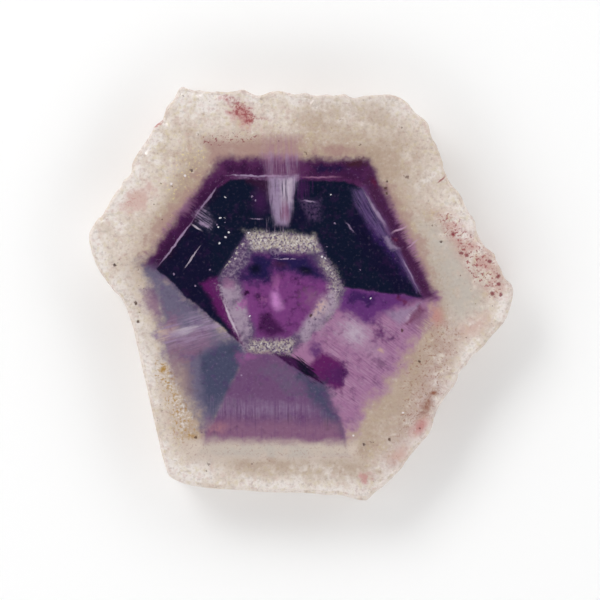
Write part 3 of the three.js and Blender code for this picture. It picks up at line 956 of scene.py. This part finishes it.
class Layer:
    """Markings laid over one another, as colours and clearness of the stone so far."""

    # Places of the Mix node's inputs and outputs for colours and for numbers
    MIX_AMOUNT = 0
    COLOUR_UNDER, COLOUR_OVER, COLOUR_MIXED = 6, 7, 2
    NUMBER_UNDER, NUMBER_OVER, NUMBER_MIXED = 2, 3, 0

    def __init__(self, tree, plan, textures, grains, colour, clear):
        self.tree = tree
        self.plan = plan
        self.textures = textures
        self.grains = grains
        self.colour = colour
        self.clear = clear
        self.frays = {}

    def fray(self, rag):
        """How far a texture moves a marking's edge, as a share of its blur or radius."""
        if rag not in self.frays:
            texture, far = rag
            self.frays[rag] = sum_of(self.tree, "MULTIPLY_ADD", self.textures[texture], far, -far / 2)
        return self.frays[rag]

    def inside(self, mark, amount):
        """Where a marking lies, from 0 outside to its amount inside."""
        form = mark["form"]
        if form == "specks":
            return self.near(mark["places"], mark["radius"], amount)
        inputs = {"Plan": self.plan, "Amount": amount}
        if form == "zone":
            sides = zone_sides(mark["corners"], mark["blur"])
            inputs["Core"] = ZONE_CORE
        else:
            sides = spot_sides(mark["middle"], mark["radii"], mark["turn"])
            inputs["Core"] = mark["core"]
        inputs.update({f"Side {index + 1}": side for index, side in enumerate(sides)})
        if mark["rag"]:
            inputs["Uneven"] = self.fray(mark["rag"])
        group = form_group(form, len(sides), mark["rag"] is not None)
        return add_node(self.tree, "ShaderNodeGroup", inputs, node_tree=group).outputs[0]

    def near(self, places, radius, amount):
        """The amount within about a radius of any of the places."""
        nearest = None
        for place in places:
            reach = vector_sum(self.tree, "DISTANCE", self.plan, (*place, 1.0))["Value"]
            nearest = reach if nearest is None else sum_of(self.tree, "MINIMUM", nearest, reach)
        frayed = sum_of(self.tree, "ADD", nearest, self.fray(("grain", SPECK_RAG)))
        return fade(self.tree, frayed, radius * SPECK_EDGE, radius / SPECK_EDGE, 0.0, amount)

    def lay(self, mark):
        """Lays a marking over the stone so far, with more colour if clear, as less of it is seen."""
        amount = mark["amount"]
        if mark["by"]:
            texture, start, end = mark["by"]
            amount = fade(self.tree, self.textures[texture], start, end, 0.0, amount)
        strength = self.inside(mark, amount)
        clear = mark["clear"]
        if mark["colour"] == "grains":
            self.tint(strength, self.grains)
        else:
            self.tint(strength, light_of(COLOURS[mark["colour"]], 1 / (1 - (clear or 0.0))))
        if clear is not None and (clear > 0 or self.clear != 0.0):
            self.clear = self.blend(strength, self.clear, clear)

    def tint(self, strength, colour, blend_type="MIX"):
        """Puts a colour over the stone so far, with a strength that may vary over it."""
        inputs = {self.MIX_AMOUNT: strength, self.COLOUR_UNDER: self.colour, self.COLOUR_OVER: colour}
        mixed = add_node(self.tree, "ShaderNodeMix", inputs, data_type="RGBA", blend_type=blend_type)
        self.colour = mixed.outputs[self.COLOUR_MIXED]

    def blend(self, strength, under, over):
        """A number between under and over."""
        inputs = {self.MIX_AMOUNT: strength, self.NUMBER_UNDER: under, self.NUMBER_OVER: over}
        mixed = add_node(self.tree, "ShaderNodeMix", inputs, data_type="FLOAT")
        return mixed.outputs[self.NUMBER_MIXED]


class Stone(Layer):
    """The whole stone: its textures, the rim, and the layers of markings."""

    def __init__(self, tree):
        self.tree = tree
        self.place = add_node(tree, "ShaderNodeTexCoord").outputs["Object"]
        textures = {
            name: self.texture(index, *sizes)["Fac"]
            for index, (name, sizes) in enumerate(TEXTURES.items())
        }
        super().__init__(tree, self.wandering_plan(), textures, self.coloured_grains(), None, 0.0)

    def placed(self, step, turn, along, across):
        """Places in the stone measured in a texture's own sizes, some texture steps away."""
        inputs = {
            "Vector": self.place,
            "Location": (step * TEXTURE_STEP, 0.0, 0.0),
            "Rotation": (0.0, 0.0, math.radians(turn)),
            "Scale": (along * MM, across * MM, across * MM),
        }
        return add_node(self.tree, "ShaderNodeMapping", inputs, vector_type="TEXTURE").outputs[0]

    def texture(self, step, turn, along, across, fineness, harshness):
        """The outputs of an uneven texture with its own sizes."""
        inputs = {
            "Vector": self.placed(step, turn, along, across),
            "Scale": 1.0,
            "Detail": fineness,
            "Roughness": harshness,
        }
        return add_node(self.tree, "ShaderNodeTexNoise", inputs).outputs

    def wandering_plan(self):
        """The plan with 1 in the third place, a little uneven so that no edge is ruled."""
        wander = self.texture(0, *WANDER_TEXTURE)["Color"]
        middle = (PLAN_SHIFT.x - WANDER / 2, PLAN_SHIFT.y - WANDER / 2, 0.0)
        shift = vector_sum(self.tree, "MULTIPLY_ADD", wander, (WANDER, WANDER, 0.0), middle)["Vector"]
        flat = (1 / MM, 1 / MM, 0.0)
        moved = vector_sum(self.tree, "MULTIPLY_ADD", self.place, flat, shift)["Vector"]
        parts = add_node(self.tree, "ShaderNodeSeparateXYZ", {0: moved}).outputs
        inputs = {"X": parts["X"], "Y": parts["Y"], "Z": 1.0}
        return add_node(self.tree, "ShaderNodeCombineXYZ", inputs).outputs[0]

    def coloured_grains(self):
        """Small crystal grains, each of one colour."""
        inputs = {"Vector": self.placed(-1, 0, GRAIN_SIZE, GRAIN_SIZE), "Scale": 1.0}
        cells = add_node(self.tree, "ShaderNodeTexVoronoi", inputs).outputs["Color"]
        chance = add_node(self.tree, "ShaderNodeSeparateColor", {0: cells}).outputs[0]
        count = len(GRAIN_COLOURS)
        stops = [(index / count, light_of(colour)) for index, colour in enumerate(GRAIN_COLOURS)]
        return ramp(self.tree, chance, stops, "CONSTANT")

    def lay_rim(self, rim_depth):
        """Cream rim, paler towards the skin, in clouds and dabs of several tones."""
        dabs = self.texture(-2, *DAB_TEXTURE)["Color"]
        parts = add_node(self.tree, "ShaderNodeSeparateColor", {0: dabs}).outputs
        carriers = {**self.textures, **dict(zip(("pale dabs", "warm dabs", "grey dabs"), parts))}
        depth = rim_depth
        for texture, far in RIM_WANDERS.items():
            wander = fade(self.tree, self.textures[texture], *TEXTURE_SPAN, -far, far)
            depth = sum_of(self.tree, "ADD", depth, wander)
        share = sum_of(self.tree, "DIVIDE", depth, RIM_DEPTH_SHOWN)
        stops = [(place, light_of(COLOURS[name])) for place, name in RIM_COLOURS]
        self.colour = ramp(self.tree, share, stops, "LINEAR")
        for carrier, start, end, amount, colour in RIM_TONES:
            strength = fade(self.tree, carriers[carrier], start, end, 0.0, amount)
            self.tint(strength, light_of(COLOURS[colour]))

    def lay_group(self, name, marks):
        """Lays a list of markings as a node group of its own."""
        kinds = {"Plan": "Vector", "Grains": "Color", "Colour": "Color", "Clear": "Float"}
        given = {"Plan": self.plan, "Grains": self.grains, "Colour": self.colour, "Clear": self.clear}
        kinds.update({title: "Float" for title in self.textures})
        given.update(self.textures)
        group = new_group(name, kinds, {"Colour": "Color", "Clear": "Float"})
        inner = group.nodes.new("NodeGroupInput").outputs
        textures = {title: inner[title] for title in self.textures}
        clear = 0.0 if self.clear == 0.0 else inner["Clear"]
        layer = Layer(group, inner["Plan"], textures, inner["Grains"], inner["Colour"], clear)
        for mark in marks.values():
            layer.lay(mark)
        add_node(group, "NodeGroupOutput", {"Colour": layer.colour, "Clear": layer.clear})
        made = add_node(self.tree, "ShaderNodeGroup", given, node_tree=group)
        self.colour = made.outputs["Colour"]
        self.clear = 0.0 if layer.clear == 0.0 else made.outputs["Clear"]


def stone_material():
    """Polished amethyst with a cream quartz rim."""
    material = bpy.data.materials.new("trapiche_amethyst")
    material.use_nodes = True
    tree = material.node_tree
    tree.nodes.clear()
    stone = Stone(tree)
    rim_depth = add_node(tree, "ShaderNodeAttribute", attribute_name="rim_depth").outputs["Fac"]
    skin = add_node(tree, "ShaderNodeAttribute", attribute_name="skin").outputs["Fac"]
    stone.lay_rim(rim_depth)
    stone.lay_group("rim", RIM_MARKS)
    stone.lay_group("sectors", SECTOR_MARKS)
    stone.lay_group("veils", VEIL_MARKS)
    stone.lay_group("ring and core", RING_MARKS)
    stone.lay_group("specks", SPECK_MARKS)
    grain = stone.textures["grain"]
    shade = fade(tree, grain, *GRAIN_SHADE_SPAN, 0.0, GRAIN_SHADE_AMOUNT)
    stone.tint(shade, GRAIN_SHADE, "MULTIPLY")
    stone.tint(skin, SKIN_TINT, "MULTIPLY")

    relief = sum_of(tree, "MULTIPLY", grain, fade(tree, skin, 0.0, 1.0, POLISH_RELIEF, 1.0))
    bump = add_node(
        tree,
        "ShaderNodeBump",
        {"Height": relief, "Strength": RELIEF_STRENGTH, "Distance": RELIEF_DEPTH},
    )
    polish = fade(tree, stone.textures["mottle"], *TEXTURE_SPAN, *POLISH_ROUGHNESS)
    shader = add_node(
        tree,
        "ShaderNodeBsdfPrincipled",
        {
            "Base Color": stone.colour,
            "Roughness": stone.blend(skin, polish, SKIN_ROUGHNESS),
            "IOR": QUARTZ_IOR,
            "Transmission Weight": stone.clear,
            "Normal": bump.outputs["Normal"],
        },
    )
    depths = add_node(
        tree,
        "ShaderNodeVolumeAbsorption",
        {"Color": ABSORPTION_COLOUR, "Density": ABSORPTION_DENSITY},
    )
    output = add_node(tree, "ShaderNodeOutputMaterial")
    tree.links.new(shader.outputs["BSDF"], output.inputs["Surface"])
    tree.links.new(depths.outputs["Volume"], output.inputs["Volume"])
    return material


def ease(share):
    """An easy curve from 0 to 1."""
    share = min(max(share, 0.0), 1.0)
    return share * share * (3 - 2 * share)


def on_plan(place):
    """A place of the slice on the plan of its markings."""
    return place.xy / MM + PLAN_SHIFT


def skin_share(place):
    """How much of the natural skin a flank keeps there: all of it, or what grinding left."""
    turn = math.degrees(math.atan2(place.y, place.x))
    start, end = GROUND_TURNS
    ground = ease((turn - start) / GROUND_BLEND + 0.5) - ease((turn - end) / GROUND_BLEND + 0.5)
    return 1 - (1 - GROUND_SHARE) * ground


def flat_face(mesh, height):
    """The triangles of a sawn face at that height, made one face."""
    flat = [face for face in mesh.faces if all(abs(v.co.z - height) < WELD for v in face.verts)]
    return bmesh.ops.dissolve_faces(mesh, faces=flat)["region"][0]


def cut_in_rings(mesh, face, rings):
    """Cuts a flat face into rings along its edge, each at a share of the face's size."""
    reached = 1.0
    for ring in rings:
        bmesh.ops.inset_individual(mesh, faces=[face], thickness=0.0)
        bmesh.ops.scale(mesh, vec=(ring / reached, ring / reached, 1.0), verts=face.verts)
        reached = ring


def cut_in_cells(mesh, face):
    """Cuts a flat face into square cells, and splits the cells that have a pit."""
    geometry = [face, *face.edges, *face.verts]
    for axis, direction in enumerate((Vector((1, 0, 0)), Vector((0, 1, 0)))):
        cuts = int((cad_high[axis] - cad_low[axis]) / CELL_SIZE)
        for cut in range(1, cuts + 1):
            place = direction * (cad_low[axis] + (cut - 0.5) * CELL_SIZE)
            geometry = bmesh.ops.bisect_plane(
                mesh, geom=geometry, dist=WELD, plane_co=place, plane_no=direction
            )["geom"]
    cells = [part for part in geometry if isinstance(part, bmesh.types.BMFace)]
    edges = set()
    for cell in cells:
        if any(has_pit(cell, middle, radius) for middle, radius, depth in PITS.values()):
            edges.update(cell.edges)
    bmesh.ops.subdivide_edges(mesh, edges=list(edges), cuts=PIT_CUTS, use_grid_fill=True)


def has_pit(cell, middle, radius):
    """Whether a pit reaches into a cell."""
    corners = [on_plan(vertex.co) for vertex in cell.verts]
    return all(
        min(corner[axis] for corner in corners) - radius < middle[axis]
        and middle[axis] < max(corner[axis] for corner in corners) + radius
        for axis in (0, 1)
    )


def slice_piece():
    """The slice with its skin, chipped edge and pits, on a finer mesh than the plain solid's."""
    mesh = bmesh.new()
    mesh.from_mesh(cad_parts[SLICE_NODE].data)
    bmesh.ops.remove_doubles(mesh, verts=mesh.verts, dist=WELD)
    sawn = (flat_face(mesh, FACE_HEIGHT), flat_face(mesh, cad_low.z))
    wall_edges = {edge for face in mesh.faces if face not in sawn for edge in face.edges}
    bmesh.ops.subdivide_edges(mesh, edges=list(wall_edges), cuts=WALL_CUTS, use_grid_fill=True)
    polished, back = sorted(mesh.faces, key=lambda face: -len(face.verts))[:2]
    if polished.calc_center_median().z < back.calc_center_median().z:
        polished, back = back, polished
    outline = [v.co.xy.copy() for v in polished.verts]
    rims = set(polished.verts) | set(back.verts)
    walls = [v for v in mesh.verts if v not in rims]
    for _ in range(WALL_SMOOTHINGS):
        bmesh.ops.smooth_vert(
            mesh, verts=walls, factor=SMOOTHING_SHARE, use_axis_x=True, use_axis_y=True, use_axis_z=True
        )
    cut_in_rings(mesh, back, BACK_RINGS)
    cut_in_rings(mesh, polished, FACE_RINGS)
    cut_in_cells(mesh, polished)
    shape_surface(mesh, outline)
    bmesh.ops.triangulate(mesh, faces=[face for face in mesh.faces if len(face.verts) > 4])
    data = bpy.data.meshes.new("polished_slice")
    mesh.to_mesh(data)
    mesh.free()
    data.shade_smooth()
    piece = bpy.data.objects.new("polished_slice", data)
    bpy.context.scene.collection.objects.link(piece)
    return piece


def shape_surface(mesh, outline):
    """Raises the skin's lumps, chips the edge and sinks the pits, and notes where rim and skin are."""
    tree = kdtree.KDTree(len(outline))
    for index, place in enumerate(outline):
        tree.insert((*place, 0.0), index)
    tree.balance()
    rim_depth = mesh.verts.layers.float.new("rim_depth")
    skin = mesh.verts.layers.float.new("skin")
    mesh.normal_update()
    moves = {}
    for vertex in mesh.verts:
        place = vertex.co
        depth = tree.find((place.x, place.y, 0.0))[2] / MM
        on_face = abs(place.z - FACE_HEIGHT) < WELD
        on_back = abs(place.z - cad_low.z) < WELD
        vertex[rim_depth] = depth if on_face or on_back else 0.0
        vertex[skin] = 0.0 if on_face else BACK_SKIN if on_back else 1.0
        if on_face:
            moves[vertex] = Vector((0.0, 0.0, -chip_drop(place, depth) - pit_drop(place)))
        elif not on_back:
            rise = sum(height * noise.noise(place / size) for size, height in SKIN_LUMPS)
            edge = min(FACE_HEIGHT - place.z, place.z - cad_low.z) / MM
            moves[vertex] = vertex.normal * rise * skin_share(place) * ease(edge + EDGE_START)
            if place.z > FACE_HEIGHT / 2:
                moves[vertex].z -= chip_drop(place, 0.0) * ease(1 - edge)
    for vertex, move in moves.items():
        vertex.co += move


def chip_drop(place, depth):
    """How far the edge of the polished face is chipped away there."""
    if depth > CHIP_REACH:
        return 0.0
    chance = noise.noise(Vector((place.x, place.y, 0.0)) / CHIP_SIZE)
    chip = ease((chance - CHIP_START) * CHIP_STEEPNESS)
    return CHIP_DEPTH * chip * (1 - depth / CHIP_REACH) ** 2 * skin_share(place)


def pit_drop(place):
    """How deep the face is sunk there by a pit."""
    drop = 0.0
    for middle, radius, depth in PITS.values():
        reach = (on_plan(place) - Vector(middle)).length / radius
        if reach < 1:
            drop = max(drop, depth * MM * (1 - reach * reach))
    return drop


def make_floor():
    """A pale floor under the slice."""
    mesh = bmesh.new()
    bmesh.ops.create_grid(
        mesh, x_segments=FLOOR_CELLS, y_segments=FLOOR_CELLS, size=FLOOR_SIZE / 2
    )
    data = bpy.data.meshes.new("floor")
    mesh.to_mesh(data)
    mesh.free()
    floor = bpy.data.objects.new("floor", data)
    floor.location.z = -FLOOR_DROP
    bpy.context.scene.collection.objects.link(floor)
    material = bpy.data.materials.new("pale_floor")
    material.use_nodes = True
    shader = material.node_tree.nodes["Principled BSDF"]
    shader.inputs["Base Color"].default_value = FLOOR_COLOUR
    shader.inputs["Roughness"].default_value = FLOOR_ROUGHNESS
    shader.inputs["Specular IOR Level"].default_value = FLOOR_SHINE
    data.materials.append(material)


def make_light():
    """A light tent, bright half way up and dark overhead, and one soft box at the upper left."""
    scene = bpy.context.scene
    world = bpy.data.worlds.new("light_tent")
    scene.world = world
    world.use_nodes = True
    tree = world.node_tree
    tree.nodes.clear()
    place = add_node(tree, "ShaderNodeTexCoord").outputs["Generated"]
    up = add_node(tree, "ShaderNodeSeparateXYZ", {0: place}).outputs["Z"]
    share = ramp(tree, up, [(height, (part, part, part, 1.0)) for height, part in TENT_SHARES], "EASE")
    glow = add_node(tree, "ShaderNodeBackground", {"Color": share, "Strength": TENT_POWER})
    output = add_node(tree, "ShaderNodeOutputWorld")
    tree.links.new(glow.outputs["Background"], output.inputs["Surface"])

    light = bpy.data.lights.new("soft_box", "AREA")
    light.size = KEY_SIZE
    light.energy = KEY_POWER
    box = bpy.data.objects.new("soft_box", light)
    box.location = KEY_PLACE
    box.rotation_euler = (-Vector(KEY_PLACE)).to_track_quat("-Z", "Y").to_euler()
    scene.collection.objects.link(box)


def make_camera():
    """A long lens straight above the polished face."""
    scene = bpy.context.scene
    camera = bpy.data.cameras.new("camera")
    camera.lens = LENS
    camera.sensor_width = SENSOR
    camera.clip_start = NEAREST_SEEN
    holder = bpy.data.objects.new("camera", camera)
    holder.location = (*VIEW_MIDDLE, FACE_HEIGHT + VIEW_WIDTH * LENS / SENSOR)
    scene.collection.objects.link(holder)
    scene.camera = holder
    scene.view_settings.view_transform = "Standard"


make_camera()
make_light()
make_floor()
piece = slice_piece()
piece.data.materials.append(stone_material())
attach(piece, "root")
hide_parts(SLICE_NODE)
